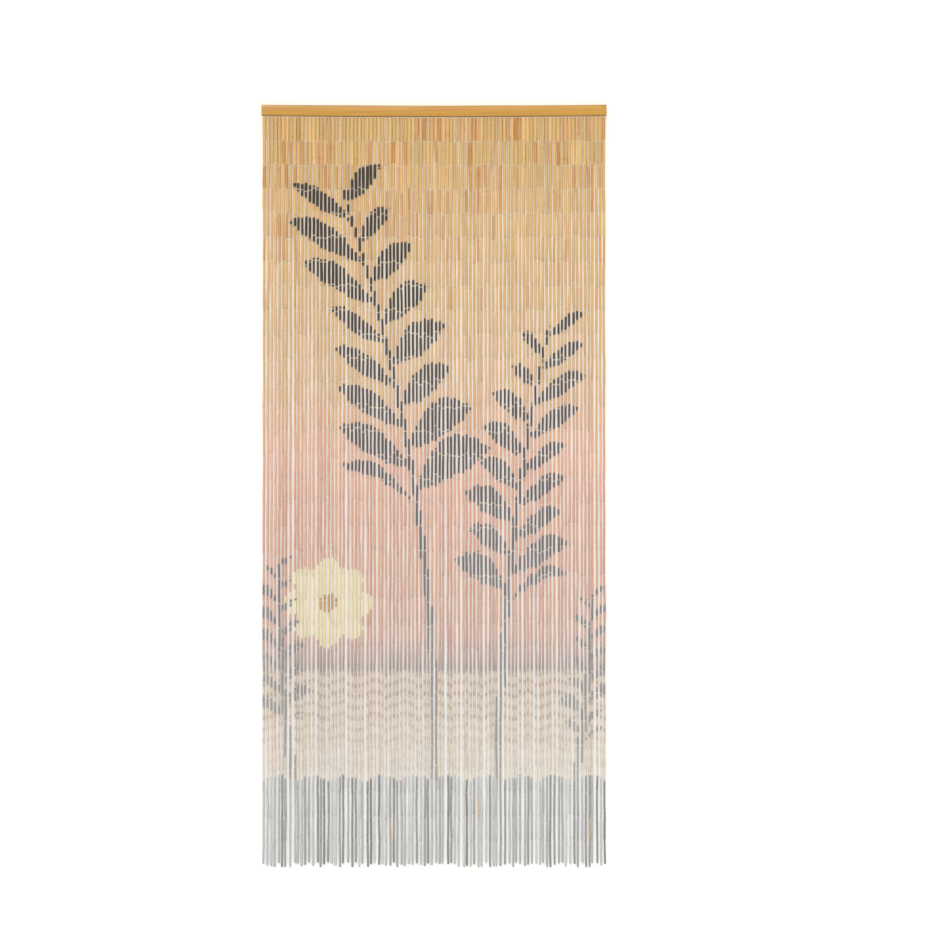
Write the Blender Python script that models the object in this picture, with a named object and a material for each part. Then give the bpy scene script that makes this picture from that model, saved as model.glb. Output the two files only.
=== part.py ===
"""Bamboo door curtain: a wooden rail with ninety strands of bamboo tubes hanging from it.

Metres, +Z up, +X along the rail, the front face looks to -Y. The origin is the middle of the
rail's flat back face, which lies against the door frame.
"""

import math
import random

import bmesh
import bpy

# Rail: a flat lath, fixed near its ends, that sags a little under the strands
RAIL_LENGTH = 0.900
RAIL_HEIGHT = 0.029
RAIL_DEPTH = 0.013
RAIL_SAG = 0.0025
RAIL_SPANS = 13
RAIL_EDGE_RADIUS = 0.0016
RAIL_EDGE_SEGMENTS = 2

# Whole curtain, from the top of the rail's raised ends to the longest strand
TOTAL_HEIGHT = 2.000

# Strands: square prisms as wide as their tubes, fused at their roots into one narrow strip
STRAND_COUNT = 90
STRAND_PITCH = 0.00995
SEAT_GAP = 0.0003
STRIP_HEIGHT = 0.0016
STRIP_END = 0.0006

# Tubes down a strand: the top rows are the widest, and the width soon falls to its usual size
TUBES = 31
TUBE_WIDTH = 0.0056
TOP_TUBE_EXTRA = 0.0029
TAPER_TUBES = 4

# Where each band of a prism ends, counted in tubes from the root
BAND_ENDS = (1, 2, 3, 5, 8, 12, 18, 24, TUBES)

# How unevenly the strands hang, at their lower ends
HEM_SCATTER = 0.022
SPLAY = 0.006
HEM_WANDER = 0.0013
LEAST_HEM_PITCH = 0.0066
APART_PASSES = 60
BOW_MOST = 0.0004
LEAN_MOST = 0.0008
SEED = 90

STRAND_Y = -RAIL_DEPTH / 2
LOWEST_Z = RAIL_HEIGHT / 2 + RAIL_SAG - TOTAL_HEIGHT

RAIL_COLOUR = (0.67, 0.39, 0.12, 1.0)
BAMBOO_COLOUR = (0.60, 0.42, 0.22, 1.0)


def clear_scene():
    """Removes whatever objects the file holds."""
    for thing in list(bpy.data.objects):
        bpy.data.objects.remove(thing, do_unlink=True)


def finish_material(name, colour, roughness):
    """One Principled material in a single colour."""
    material = bpy.data.materials.new(name)
    material.use_nodes = True
    shader = material.node_tree.nodes["Principled BSDF"]
    shader.inputs["Base Color"].default_value = colour
    shader.inputs["Roughness"].default_value = roughness
    return material


def add_object(name, bm, material):
    """Turns a finished bmesh into a named object with its material."""
    mesh = bpy.data.meshes.new(name)
    bm.to_mesh(mesh)
    bm.free()
    mesh.materials.append(material)
    thing = bpy.data.objects.new(name, mesh)
    bpy.context.scene.collection.objects.link(thing)
    return thing


def sag_rise(x):
    """How far the rail stands at x above its middle, where it sags most."""
    return RAIL_SAG * (2 * x / RAIL_LENGTH) ** 2


def box_ring(bm, x, y_front, y_back, z_low, z_high):
    """Four corners across the rail's length at x, front-low first, then round by the back."""
    corners = ((y_front, z_low), (y_back, z_low), (y_back, z_high), (y_front, z_high))
    return [bm.verts.new((x, y, z)) for y, z in corners]


def join_rings(bm, left, right):
    """Skins two neighbouring rings and returns the lower face, which looks down."""
    low = bm.faces.new((left[1], right[1], right[0], left[0]))
    bm.faces.new((left[2], right[2], right[1], left[1]))
    bm.faces.new((left[3], right[3], right[2], left[2]))
    bm.faces.new((left[0], right[0], right[3], left[3]))
    return low


def build_rail(material):
    """The lath: a bar in short spans that follow the sag, with its long edges rounded."""
    bm = bmesh.new()
    half = RAIL_HEIGHT / 2
    rings = []
    for step in range(RAIL_SPANS + 1):
        x = RAIL_LENGTH * (step / RAIL_SPANS - 0.5)
        rise = sag_rise(x)
        rings.append(box_ring(bm, x, -RAIL_DEPTH, 0.0, rise - half, rise + half))
    for left, right in zip(rings, rings[1:]):
        join_rings(bm, left, right)
    bm.faces.new(reversed(rings[0]))
    bm.faces.new(rings[-1])
    rail = add_object("rail", bm, material)
    bevel = rail.modifiers.new("rounded edges", "BEVEL")
    bevel.width = RAIL_EDGE_RADIUS
    bevel.segments = RAIL_EDGE_SEGMENTS
    bevel.limit_method = "ANGLE"
    bevel.use_clamp_overlap = True
    return rail


def tube_width(tubes_down):
    """Width of the tubes at a number of tubes below the root."""
    return TUBE_WIDTH + TOP_TUBE_EXTRA * math.exp(-tubes_down / TAPER_TUBES)


def strand_plan():
    """For each strand its place on the rail and at the hem, and how it leans and bows."""
    dice = random.Random(SEED)
    plan = []
    for number in range(STRAND_COUNT):
        x = (number - (STRAND_COUNT - 1) / 2) * STRAND_PITCH
        plan.append({
            "x": x,
            "hem_x": x * (1 + SPLAY) + HEM_WANDER * dice.gauss(0, 1),
            "shorter": HEM_SCATTER * math.sqrt(dice.random()),
            "bow_x": BOW_MOST * dice.uniform(-1, 1),
            "lean_y": LEAN_MOST * dice.uniform(-1, 1),
        })
    shortest_cut = min(strand["shorter"] for strand in plan)
    for strand in plan:
        strand["low_z"] = LOWEST_Z + strand["shorter"] - shortest_cut
    keep_apart(plan)
    return plan


def keep_apart(plan):
    """Pushes neighbouring lower ends apart until each pair has its least distance."""
    for _ in range(APART_PASSES):
        for left, right in zip(plan, plan[1:]):
            lack = max(0, LEAST_HEM_PITCH - (right["hem_x"] - left["hem_x"]))
            left["hem_x"] -= lack / 2
            right["hem_x"] += lack / 2


def strand_place(strand, fall):
    """Centre of a strand at a share of its fall: 0 at the root, 1 at the lower end."""
    x = strand["x"] + (strand["hem_x"] - strand["x"]) * fall
    x += strand["bow_x"] * 4 * fall * (1 - fall)
    y = STRAND_Y + strand["lean_y"] * fall
    return x, y


def strip_edges(plan):
    """Where the strip is cut across: its two ends and both sides of every strand."""
    half = tube_width(0) / 2
    edges = [plan[0]["x"] - half - STRIP_END]
    for strand in plan:
        edges += [strand["x"] - half, strand["x"] + half]
    return edges + [plan[-1]["x"] + half + STRIP_END]


def build_strands(material):
    """The strip under the rail, and a strand drawn down from every second cell of it."""
    plan = strand_plan()
    bm = bmesh.new()
    half = tube_width(0) / 2
    rings = []
    for x in strip_edges(plan):
        high = sag_rise(x) - RAIL_HEIGHT / 2 - SEAT_GAP
        rings.append(box_ring(bm, x, STRAND_Y - half, STRAND_Y + half, high - STRIP_HEIGHT, high))
    undersides = [join_rings(bm, left, right) for left, right in zip(rings, rings[1:])]
    bm.faces.new(reversed(rings[0]))
    bm.faces.new(rings[-1])
    for strand, root in zip(plan, undersides[1::2]):
        draw_strand(bm, strand, root)
    return add_object("strands", bm, material)


def draw_strand(bm, strand, root):
    """Extrudes one root face downwards, band by band, along the strand's hang."""
    root_z = sum(vert.co.z for vert in root.verts) / len(root.verts)
    face = root
    for tubes_down in BAND_ENDS:
        fall = tubes_down / TUBES
        half = tube_width(tubes_down) / 2
        x, y = strand_place(strand, fall)
        z = root_z + (strand["low_z"] - root_z) * fall
        side = [(-half, half), (half, half), (half, -half), (-half, -half)]
        face = bmesh.ops.extrude_discrete_faces(bm, faces=[face])["faces"][0]
        for vert, (dx, dy) in zip(face.verts, side):
            vert.co = (x + dx, y + dy, z)


def main():
    clear_scene()
    build_rail(finish_material("rail_wood", RAIL_COLOUR, 0.45))
    build_strands(finish_material("bamboo", BAMBOO_COLOUR, 0.5))


main()
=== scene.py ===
# %% [markdown]
# This lesson dresses a bamboo door curtain. The real one is a wooden lath with ninety strands of
# thin bamboo tubes hanging from it, each tube threaded on its own bit of wire. The frame gives two
# plain solids: the rail, and one prism for each strand. The rail gets a finer lath in its place,
# and the prisms make way for 2,790 tubes, their wires, and the staples that hold them up.

# %% Load the frame
import math
import random

import bpy
import numpy as np
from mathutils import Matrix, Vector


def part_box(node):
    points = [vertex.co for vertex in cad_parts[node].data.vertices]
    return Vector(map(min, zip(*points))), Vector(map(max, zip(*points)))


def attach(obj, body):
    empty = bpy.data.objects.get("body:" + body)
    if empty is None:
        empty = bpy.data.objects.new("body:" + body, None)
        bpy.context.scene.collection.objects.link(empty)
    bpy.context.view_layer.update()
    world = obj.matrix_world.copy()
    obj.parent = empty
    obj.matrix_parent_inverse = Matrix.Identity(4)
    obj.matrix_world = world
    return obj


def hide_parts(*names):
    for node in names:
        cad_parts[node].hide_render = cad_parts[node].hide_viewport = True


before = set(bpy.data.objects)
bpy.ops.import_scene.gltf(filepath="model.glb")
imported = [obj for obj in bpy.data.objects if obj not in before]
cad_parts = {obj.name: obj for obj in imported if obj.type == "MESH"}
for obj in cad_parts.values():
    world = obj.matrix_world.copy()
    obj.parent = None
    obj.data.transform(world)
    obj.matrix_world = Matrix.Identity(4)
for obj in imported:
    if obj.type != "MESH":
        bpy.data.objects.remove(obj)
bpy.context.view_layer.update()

# %% [markdown]
# The strands hang where the frame's prisms hang, so the plan of the curtain is worked out here in
# the same way as there, from the same few sizes. Only the top tubes are a little wider than
# their prisms. The rail's length and height are read from its node. A seed makes the
# unevenness the same each time.

# %% Plan the strands
RAIL_SAG = 0.0025
STRAND_COUNT = 90
STRAND_PITCH = 0.00995
SEAT_GAP = 0.0003
STRIP_HEIGHT = 0.0016
TUBES = 31
TUBE_WIDTH = 0.0056
TOP_TUBE_EXTRA = 0.0035
TAPER_TUBES = 4
HEM_SCATTER = 0.022
SPLAY = 0.006
HEM_WANDER = 0.0013
LEAST_HEM_PITCH = 0.0066
APART_PASSES = 60
BOW_MOST = 0.0004
LEAN_MOST = 0.0008
SEED = 90

rail_low, rail_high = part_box("rail")
RAIL_LENGTH = rail_high.x - rail_low.x
RAIL_DEPTH = rail_high.y - rail_low.y
RAIL_HEIGHT = rail_high.z - rail_low.z - RAIL_SAG
TOP_Z = rail_high.z
LOWEST_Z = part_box("strands")[0].z
STRAND_Y = -RAIL_DEPTH / 2


def sag_rise(x):
    """How far the rail stands at x above its middle, where it sags most."""
    return RAIL_SAG * (2 * x / RAIL_LENGTH) ** 2


def tube_width(tubes_down):
    """Usual width of the tubes at a number of tubes below the rail."""
    return TUBE_WIDTH + TOP_TUBE_EXTRA * math.exp(-tubes_down / TAPER_TUBES)


def keep_apart(plan):
    """Pushes neighbouring lower ends apart until each pair has its least distance."""
    for _ in range(APART_PASSES):
        for left, right in zip(plan, plan[1:]):
            lack = max(0, LEAST_HEM_PITCH - (right["hem_x"] - left["hem_x"]))
            left["hem_x"] -= lack / 2
            right["hem_x"] += lack / 2


def strand_plan():
    """For each strand its place on the rail and at the hem, and how it leans and bows."""
    dice = random.Random(SEED)
    plan = []
    for number in range(STRAND_COUNT):
        x = (number - (STRAND_COUNT - 1) / 2) * STRAND_PITCH
        plan.append({
            "x": x,
            "hem_x": x * (1 + SPLAY) + HEM_WANDER * dice.gauss(0, 1),
            "shorter": HEM_SCATTER * math.sqrt(dice.random()),
            "bow_x": BOW_MOST * dice.uniform(-1, 1),
            "lean_y": LEAN_MOST * dice.uniform(-1, 1),
        })
    shortest_cut = min(strand["shorter"] for strand in plan)
    for strand in plan:
        strand["low_z"] = LOWEST_Z + strand["shorter"] - shortest_cut
    keep_apart(plan)
    return plan


def strand_place(strand, z):
    """Centre of a strand at height z."""
    root_z = sag_rise(strand["x"]) - RAIL_HEIGHT / 2 - SEAT_GAP - STRIP_HEIGHT
    fall = (root_z - z) / (root_z - strand["low_z"])
    x = strand["x"] + (strand["hem_x"] - strand["x"]) * fall
    x += strand["bow_x"] * 4 * fall * (1 - fall)
    return np.array((x, STRAND_Y + strand["lean_y"] * fall, z))


plan = strand_plan()
print("strands:", len(plan), "from", round(plan[0]["x"], 4), "to", round(plan[-1]["x"], 4))

# %% [markdown]
# Along a strand, each wire ends in an eye that hooks into the next one, just inside the tubes'
# ends. The tubes are cut by hand, so their lengths differ. The errors add up down the strand,
# and the rows of joints are straight under the rail and ragged lower down. No strand hangs quite
# straight either: each joint sways a little aside, so some neighbours touch and others leave a
# wider gap. Only the last joint's height is fixed, by where the strand ends. The longest strands
# end in a bare tail of wire.

# %% Place the joints
HOOK_DROP = 0.0019
JOINT_GAP = 0.0008
EYE_REACH = 0.0022
TAIL_ROOM = 0.011
LENGTH_ERROR = 0.03
JOINT_SWAY = 0.00045
variety = np.random.default_rng(SEED)


def joint_points(strand):
    """The places of a strand's hooks, from the staple down to the last eye, as rows of x, y, z."""
    first = sag_rise(strand["x"]) - RAIL_HEIGHT / 2 - HOOK_DROP
    last = max(strand["low_z"] + EYE_REACH, LOWEST_Z + TAIL_ROOM) - JOINT_GAP / 2
    steps = variety.normal(1, LENGTH_ERROR, TUBES)
    falls = np.concatenate(([0], np.cumsum(steps))) / steps.sum()
    heights = first + (last - first) * falls
    places = np.array([strand_place(strand, z) for z in heights])
    places[:, 0] += variety.normal(0, JOINT_SWAY, len(places)).clip(-2 * JOINT_SWAY, 2 * JOINT_SWAY)
    return places


joints = np.array([joint_points(strand) for strand in plan])
print("joints:", joints.shape, "usual tube pitch", round(float(-np.diff(joints[:, :, 2]).mean()), 5))

# %% [markdown]
# Each modelling step works on what is selected, and the loaded frame comes in selected. So a few
# helpers come first: they clear the selection, and pick faces, edges or corners of a mesh in edit
# mode by a rule on their place or direction.

# %% Helpers for modelling
import bmesh


def deselect_all():
    """Leaves nothing selected, in object mode."""
    if bpy.context.object and bpy.context.object.mode != "OBJECT":
        bpy.ops.object.mode_set(mode="OBJECT")
    bpy.ops.object.select_all(action="DESELECT")


def select_only(thing):
    """Selects one object and makes it the active one."""
    deselect_all()
    thing.select_set(True)
    bpy.context.view_layer.objects.active = thing


def start_editing(thing, select_mode):
    """Opens edit mode on one object, with nothing in its mesh selected."""
    select_only(thing)
    bpy.ops.object.mode_set(mode="EDIT")
    bpy.ops.mesh.select_mode(type=select_mode)
    bpy.ops.mesh.select_all(action="DESELECT")


def pick(kind, rule):
    """Selects the open mesh's faces, edges or verts that the rule holds for, and counts them."""
    mesh = bpy.context.edit_object.data
    bm = bmesh.from_edit_mesh(mesh)
    for item in (*bm.verts, *bm.edges, *bm.faces):
        item.select = False
    chosen = [item for item in getattr(bm, kind) if rule(item)]
    for item in chosen:
        item.select_set(True)
    bm.select_flush_mode()
    bmesh.update_edit_mesh(mesh)
    return len(chosen)


def read_points(mesh):
    """A mesh's corner points as an array."""
    points = np.empty(len(mesh.vertices) * 3, np.float32)
    mesh.vertices.foreach_get("co", points)
    return points.reshape(-1, 3).astype(float)


def write_points(mesh, points):
    """Moves a mesh's corner points to the places in an array."""
    mesh.vertices.foreach_set("co", points.astype(np.float32).ravel())
    mesh.update()


# %% [markdown]
# A tube is a length of thin cane, sawn off square, with a hole down its middle. It starts as a
# ten-sided cylinder. A cut round its middle gives it a slight bend. Some canes keep a node, the
# ridge where a leaf grew, made by widening a cut and bevelling it. The sawn ends are inset and
# bridged, which opens the hole, and the sharp rim is chamfered. Ten sides are few, but this shape
# is repeated 2,790 times and smooth shading rounds it.

# %% Model the tubes
TUBE_RADIUS = 0.0028
TUBE_LENGTH = 0.060
TUBE_SIDES = 10
WALL = 0.0011
RIM_CHAMFER = 0.00035
NODE_RIDGE = 1.09
NODE_BEVEL = 0.0011
END_SLACK = 0.00001
LEVEL_FACE = 0.9
TUBE_KINDS = (
    {"bend": 0.00010, "oval": 0.98, "node_at": None},
    {"bend": 0.00025, "oval": 0.95, "node_at": None},
    {"bend": -0.00035, "oval": 0.97, "node_at": None},
    {"bend": 0.00045, "oval": 1.00, "node_at": None},
    {"bend": 0.00020, "oval": 0.97, "node_at": 0.011},
    {"bend": -0.00015, "oval": 0.96, "node_at": -0.014},
)


def radius_at(point):
    """Distance of a point from the tube's own axis, leaving the bend out."""
    return math.hypot(point.x, point.y)


def cut_round(height):
    """Cuts the open mesh all round at a height, and leaves the cut selected."""
    bpy.ops.mesh.select_all(action="SELECT")
    bpy.ops.mesh.bisect(plane_co=(0, 0, height), plane_no=(0, 0, 1))


def model_tube(name, bend, oval, node_at):
    """One tube on the Z axis, its middle at the origin."""
    deselect_all()
    bpy.ops.mesh.primitive_cylinder_add(
        vertices=TUBE_SIDES, radius=TUBE_RADIUS, depth=TUBE_LENGTH, end_fill_type="NGON")
    tube = bpy.context.object
    tube.name = name
    half = TUBE_LENGTH / 2
    start_editing(tube, "EDGE")
    if node_at is not None:
        cut_round(node_at)
        bpy.ops.transform.resize(value=(NODE_RIDGE, NODE_RIDGE, 1), center_override=(0, 0, node_at))
        bpy.ops.mesh.bevel(offset=NODE_BEVEL, segments=2, affect="EDGES")
    cut_round(0)
    bpy.ops.transform.translate(value=(bend, 0, 0))
    bpy.ops.mesh.select_mode(type="FACE")
    pick("faces", lambda face: abs(face.normal.z) > LEVEL_FACE)
    bpy.ops.mesh.inset(thickness=WALL)
    bpy.ops.mesh.bridge_edge_loops()
    bpy.ops.mesh.select_mode(type="EDGE")
    pick("edges", lambda edge: all(
        abs(abs(vert.co.z) - half) < END_SLACK and radius_at(vert.co) > TUBE_RADIUS - WALL / 2
        for vert in edge.verts))
    bpy.ops.mesh.bevel(offset=RIM_CHAMFER, segments=1, affect="EDGES")
    bpy.ops.mesh.select_all(action="SELECT")
    bpy.ops.transform.resize(value=(1, oval, 1), center_override=(0, 0, 0))
    bpy.ops.object.mode_set(mode="OBJECT")
    return tube


tube_models = [model_tube(f"tube_{n}", **kind) for n, kind in enumerate(TUBE_KINDS)]
print("tubes: faces of each kind", [len(tube.data.polygons) for tube in tube_models])

# %% [markdown]
# The joined pieces are put together from arrays, because 2,790 copied objects would be slow. So
# each model is read once into a shape: its points, its faces, and two maps. The fibre map runs
# round the cane and along it in metres, and the finish is drawn on it. The second map gives every
# face its own place in a square cell, where the colours can be baked. The faces are
# sorted, because the modelling tools may list them in another order the next time.

# %% Read a tube into arrays
SKIN_SLOT, CUT_SLOT = 0, 1
SKIN_SHARE = 0.36
END_SHARE = 0.10
BORE_MIDDLE, BORE_SHARE = 0.96, 0.03
BORE_LIMIT = TUBE_RADIUS - 0.7 * WALL


def turns_round(points, quads):
    """For each face corner its place round the Z axis in turns, with no jump inside a face."""
    first = math.atan2(points[0, 1], points[0, 0])
    angle = np.arctan2(points[:, 1], points[:, 0]) - first
    corner = angle[quads]
    middle = np.arctan2(np.sin(corner).mean(1), np.cos(corner).mean(1)) % (2 * math.pi)
    offset = (corner - middle[:, None] + math.pi) % (2 * math.pi) - math.pi
    return (middle[:, None] + offset) / (2 * math.pi), first


def tube_shape(tube, node_at):
    """A tube's points, faces, slots and maps."""
    points = read_points(tube.data)
    quads = np.array(sorted(tuple(face.vertices) for face in tube.data.polygons))
    turns, first = turns_round(points, quads)
    z = points[quads][:, :, 2]
    radius = np.hypot(points[:, 0], points[:, 1])[quads]
    bore = radius.max(1) < BORE_LIMIT
    ends = ~bore & (np.abs(z).min(1) > TUBE_LENGTH / 2 - END_SLACK)
    share = 2 * z / TUBE_LENGTH
    height = 0.5 + SKIN_SHARE * share + np.sign(z) * END_SHARE * (1 - radius / TUBE_RADIUS).clip(0)
    height = np.where(bore[:, None], BORE_MIDDLE + BORE_SHARE * share, height)
    return {
        "points": points,
        "quads": quads,
        "slots": np.where(bore | ends, CUT_SLOT, SKIN_SLOT),
        "fibre": np.stack((turns + first / (2 * math.pi), z), -1),
        "cell": np.stack((turns, height), -1),
        "node_at": node_at,
    }


shapes = [tube_shape(tube, kind["node_at"]) for tube, kind in zip(tube_models, TUBE_KINDS)]
cells = np.concatenate([shape["cell"].reshape(-1, 2) for shape in shapes])
print("cells reach from", cells.min(0).round(3), "to", cells.max(0).round(3))

# %% [markdown]
# Now each tube gets its own size and place. It spans the gap between two joints, less the room
# for the eyes. Its width follows its row, is a little uneven, and never touches its neighbours.
# It is turned by any amount on its wire, but its painted side stays near the front, because the
# curtain was painted as it hung.

# %% Choose each tube's size and place
WIDTH_ERROR = 0.06
WIDTH_ERROR_MOST = 0.10
CUT_ERROR = 0.00015
PLAY_ON_WIRE = 0.00015
NEIGHBOUR_GAP = 0.0001
PLAIN_KINDS = [n for n, kind in enumerate(TUBE_KINDS) if kind["node_at"] is None]
NODE_KINDS = [n for n, kind in enumerate(TUBE_KINDS) if kind["node_at"] is not None]
NODE_CHANCE = 1 / 7
PAINT_TWIST = math.radians(10)
TURNED_AWAY_CHANCE = 0.006
SLIP_MOST = 0.0045
NO_NODE = 9.0

middles = (joints[:, :-1] + joints[:, 1:]) / 2
middles[:, :, :2] += variety.uniform(-PLAY_ON_WIRE, PLAY_ON_WIRE, (STRAND_COUNT, TUBES, 2))
lengths = -np.diff(joints[:, :, 2]) - JOINT_GAP + variety.normal(0, CUT_ERROR, (STRAND_COUNT, TUBES))
errors = variety.normal(0, WIDTH_ERROR, (STRAND_COUNT, TUBES)).clip(-WIDTH_ERROR_MOST, WIDTH_ERROR_MOST)
widths = np.array([tube_width(n) for n in range(TUBES)]) * (1 + errors)
room = np.full((STRAND_COUNT + 1, TUBES), 1.0)
room[1:-1] = np.diff(middles[:, :, 0], axis=0)
widths = np.minimum(widths, np.minimum(room[:-1], room[1:]) - NEIGHBOUR_GAP)
slips = variety.uniform(-SLIP_MOST, SLIP_MOST, STRAND_COUNT)
print("widths: from", round(float(widths.min()), 5), "to", round(float(widths.max()), 5))


def lean_between(upper, lower):
    """How far a tube or a wire moves in x, y and z for each metre that it rises."""
    drop = upper - lower
    return drop / drop[2]


def tube_copy(strand, row):
    """One placed tube: its shape, its points, and what its finish needs to know."""
    kinds = NODE_KINDS if variety.random() < NODE_CHANCE else PLAIN_KINDS
    shape = shapes[kinds[variety.integers(len(kinds))]]
    spin = variety.uniform(0, 2 * math.pi)
    twist = variety.normal(0, PAINT_TWIST)
    if variety.random() < TURNED_AWAY_CHANCE:
        twist += math.pi
    wide = widths[strand, row] / (2 * TUBE_RADIUS)
    x, y, z = shape["points"].T
    turned_x = (x * math.cos(spin) - y * math.sin(spin)) * wide
    turned_y = (x * math.sin(spin) + y * math.cos(spin)) * wide
    high = z * lengths[strand, row] / TUBE_LENGTH
    lean = lean_between(joints[strand, row], joints[strand, row + 1])
    points = middles[strand, row] + high[:, None] * lean + np.stack((turned_x, turned_y, 0 * z), -1)
    front = -math.pi / 2
    fibre = shape["fibre"] + np.array(((spin - front - twist) / (2 * math.pi), 0))
    node = NO_NODE if shape["node_at"] is None else shape["node_at"]
    return {
        "shape": shape,
        "points": points,
        "fibre": fibre,
        "lay": (plan[strand]["x"], slips[strand], node),
        "chance": variety.random(3),
    }


# %% [markdown]
# Joining is the same for tubes and wires: the copies' points follow each other in one long list,
# and each copy's faces count on from the points before it. Two named attributes carry what a
# finish needs for each copy: where its strand hangs, and three random numbers.

# %% Join copies into one piece
CELL_MARGIN = 0.04


def spread_cells(copies, columns, rows):
    """The bake map: each copy's cell, shrunk a little and set in its place in the square."""
    maps = []
    for number, copy in enumerate(copies):
        corner = np.array((number % columns, number // columns))
        inside = CELL_MARGIN + (1 - 2 * CELL_MARGIN) * copy["shape"]["cell"]
        maps.append(((inside + corner) / np.array((columns, rows))).reshape(-1, 2))
    return np.concatenate(maps)


def add_map(mesh, name, values):
    """Adds a UV map to a mesh and fills it."""
    layer = mesh.uv_layers.new(name=name)
    layer.data.foreach_set("uv", values.astype(np.float32).ravel())
    return layer


def add_attribute(mesh, name, copies):
    """Adds a vector attribute with one value for all points of a copy."""
    values = np.concatenate([np.tile(copy[name], (len(copy["points"]), 1)) for copy in copies])
    attribute = mesh.attributes.new(name, "FLOAT_VECTOR", "POINT")
    attribute.data.foreach_set("vector", values.astype(np.float32).ravel())


def join_copies(name, copies, columns, rows, materials, smooth_below):
    """One finished piece from many copies, riding on the root."""
    starts = np.cumsum([0] + [len(copy["points"]) for copy in copies])
    points = np.concatenate([copy["points"] for copy in copies])
    quads = np.concatenate([copy["shape"]["quads"] + start for copy, start in zip(copies, starts)])
    mesh = bpy.data.meshes.new(name)
    mesh.from_pydata(points.tolist(), [], quads.tolist())
    slots = np.concatenate([copy["shape"]["slots"] for copy in copies])
    for material in materials:
        mesh.materials.append(material)
    mesh.polygons.foreach_set("material_index", slots.astype(np.int32))
    fibre = add_map(mesh, "fibre", np.concatenate([copy["fibre"].reshape(-1, 2) for copy in copies]))
    add_map(mesh, "OFBake", spread_cells(copies, columns, rows))
    fibre.active = True
    fibre.active_render = True
    add_attribute(mesh, "lay", copies)
    add_attribute(mesh, "chance", copies)
    mesh.update()
    piece = bpy.data.objects.new(name, mesh)
    bpy.context.scene.collection.objects.link(piece)
    select_only(piece)
    bpy.ops.object.shade_smooth_by_angle(angle=smooth_below)
    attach(piece, "root")
    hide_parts("strands")
    return piece


# %% [markdown]
# A finish is drawn with nodes. Written node by node it is hard to read, so two small classes stand
# between: a Reading is a value that changes over the surface and knows how to add, multiply and
# compare, and a Finish is the material that makes the nodes. Numbers that are the same all over
# the surface are set on the shader itself.

# %% Shader helpers
class Reading:
    """A value that changes over a surface. Arithmetic on it adds Math nodes."""

    def __init__(self, finish, socket):
        self.finish = finish
        self.socket = socket

    def math(self, operation, *others):
        """A Math node with this value first."""
        sockets = dict(enumerate((self, *others)))
        return self.finish.node("ShaderNodeMath", {"operation": operation}, sockets)

    def __add__(self, other):
        return self.math("ADD", other)

    def __sub__(self, other):
        return self.math("SUBTRACT", other)

    def __rsub__(self, other):
        return self.finish.node("ShaderNodeMath", {"operation": "SUBTRACT"}, {0: other, 1: self})

    def __mul__(self, other):
        return self.math("MULTIPLY", other)

    def __truediv__(self, other):
        return self.math("DIVIDE", other)

    def __pow__(self, other):
        return self.math("POWER", other)

    def __gt__(self, other):
        return self.math("GREATER_THAN", other)

    def __lt__(self, other):
        return self.math("LESS_THAN", other)

    def __abs__(self):
        return self.math("ABSOLUTE")

    def clipped(self):
        """The same value, kept between 0 and 1."""
        settings = {"operation": "ADD", "use_clamp": True}
        return self.finish.node("ShaderNodeMath", settings, {0: self, 1: 0.0})

    def eased(self, low, high):
        """0 below low, 1 above high, and a smooth rise between. Low may be the larger."""
        settings = {"interpolation_type": "SMOOTHSTEP"}
        sockets = {0: self, 1: low, 2: high, 3: 0.0, 4: 1.0}
        return self.finish.node("ShaderNodeMapRange", settings, sockets)

    __radd__ = __add__
    __rmul__ = __mul__


class Finish:
    """A material in the making, and the nodes on its Principled shader."""

    def __init__(self, name, constants):
        self.material = bpy.data.materials.new(name)
        self.material.use_nodes = True
        self.tree = self.material.node_tree
        self.shader = self.tree.nodes["Principled BSDF"]
        for socket, value in constants.items():
            self.shader.inputs[socket].default_value = value

    def node(self, kind, settings, sockets, out=0):
        """Adds a node: its settings first, then its sockets, as values or links."""
        made = self.tree.nodes.new(kind)
        for name, value in settings.items():
            if name == "stops":
                set_stops(made.color_ramp, value)
            else:
                setattr(made, name, value)
        for name, value in sockets.items():
            if isinstance(value, Reading):
                self.tree.links.new(value.socket, made.inputs[name])
            else:
                made.inputs[name].default_value = value
        return Reading(self, made.outputs[out])

    def split(self, vector):
        """The three numbers of a vector."""
        first = self.node("ShaderNodeSeparateXYZ", {}, {0: vector})
        return [Reading(self, output) for output in first.socket.node.outputs]

    def vector(self, x, y, z):
        """A vector from three numbers."""
        return self.node("ShaderNodeCombineXYZ", {}, {0: x, 1: y, 2: z})

    def noise(self, vector, scale, detail):
        """Soft noise from 0 to 1."""
        return self.node("ShaderNodeTexNoise", {}, {"Vector": vector, "Scale": scale, "Detail": detail})

    def blend(self, share, first, second, how="MIX"):
        """Two colours mixed by a share from 0 to 1."""
        settings = {"data_type": "RGBA", "blend_type": how}
        return self.node("ShaderNodeMix", settings, {0: share, 6: first, 7: second}, out=2)

    def tinted(self, colour, amount):
        """A colour made brighter or darker."""
        return self.node("ShaderNodeVectorMath", {"operation": "SCALE"}, {0: colour, 3: amount})

    def ramp(self, share, stops):
        """A colour read from stops along a share from 0 to 1."""
        return self.node("ShaderNodeValToRGB", {"stops": stops}, {0: share})

    def bump(self, height, distance, strength):
        """A surface normal raised by a height from 0 to 1."""
        sockets = {"Height": height, "Distance": distance, "Strength": strength}
        return self.node("ShaderNodeBump", {}, sockets)

    def set(self, name, reading):
        """Feeds one of the shader's sockets."""
        self.tree.links.new(reading.socket, self.shader.inputs[name])


def set_stops(ramp, stops):
    """Replaces a colour ramp's stops."""
    ramp.elements.remove(ramp.elements[1])
    ramp.elements[0].position, ramp.elements[0].color = stops[0]
    for position, colour in stops[1:]:
        ramp.elements.new(position).color = colour


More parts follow.
